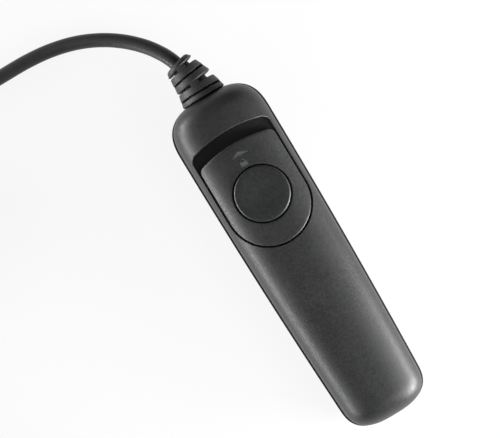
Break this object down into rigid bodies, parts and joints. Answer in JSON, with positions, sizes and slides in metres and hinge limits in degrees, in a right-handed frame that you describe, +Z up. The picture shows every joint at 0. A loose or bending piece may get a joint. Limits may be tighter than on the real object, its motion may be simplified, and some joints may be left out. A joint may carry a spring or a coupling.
{
  "type": "cable shutter release",
  "caption": "Wired camera remote: a hand-held casing with a round button in a sliding hold plate, leaf contacts inside, a ribbed strain relief, a coiled cord and a flat plug.",
  "frame": {"origin": "under the middle of the casing, on the surface that its flat back rests on", "axes": "+Y along the casing to the cord end, +Z up out of the button, +X to the right seen from above with the cord end away"},
  "size_m": [0.1337, 0.1366, 0.0185],
  "materials": {
    "cover_plastic": "moulded black-grey plastic, satin",
    "slide_plastic": "moulded black-grey plastic, satin, a touch smoother than the covers",
    "button_plastic": "moulded dark grey plastic, satin",
    "base_plastic": "moulded black plastic",
    "laminate": "brown insulating laminate, matte",
    "leaf_bronze": "rolled phosphor bronze strip",
    "screw_steel": "zinc plated steel",
    "spring_steel": "drawn spring wire",
    "solder": "solder, semi-bright",
    "wire_red": "red wire insulation",
    "wire_white": "white wire insulation",
    "wire_black": "black wire insulation",
    "relief_rubber": "moulded rubber, slightly bluish black",
    "cord_jacket": "smooth cord jacket, matte black",
    "plug_plastic": "moulded grey plastic, matte",
    "shell_steel": "nickel plated steel",
    "pin_gold": "gold plated contact strips"
  },
  "bodies": {
    "casing": {"upper_cover": "cover_plastic", "lower_cover": "cover_plastic", "cover_screws": "screw_steel", "contact_base": "base_plastic", "shutter_contact": "leaf_bronze", "lower_spacer": "laminate", "focus_contact": "leaf_bronze", "upper_spacer": "laminate", "common_contact": "leaf_bronze", "clamp_plate": "base_plastic", "clamp_screws": "screw_steel", "shutter_wire": "wire_red", "focus_wire": "wire_white", "common_wire": "wire_black", "solder_joints": "solder", "strain_relief": "relief_rubber", "cord_inner_end": "cord_jacket", "cord_lead": "cord_jacket", "cord_coil": "cord_jacket", "cord_tail": "cord_jacket", "plug_collar": "relief_rubber", "plug_grip": "plug_plastic", "plug_nose": "plug_plastic", "plug_shell": "shell_steel", "plug_insulator": "base_plastic", "plug_contacts": "pin_gold"},
    "slide": {"hold_slide": "slide_plastic", "return_spring": "spring_steel"},
    "button": {"release_button": "button_plastic"}
  },
  "joints": [
    {"name": "hold_travel", "type": "slide", "parent": "casing", "child": "slide", "axis": [0, 1, 0], "range_m": [0, 0.0035]},
    {"name": "button_press", "type": "slide", "parent": "slide", "child": "button", "axis": [0, 0, -1], "range_m": [0, 0.0016], "stiffness_N_per_m": 600, "springref_m": -0.0005, "deforming": ["return_spring", "common_contact", "focus_contact"]}
  ]
}
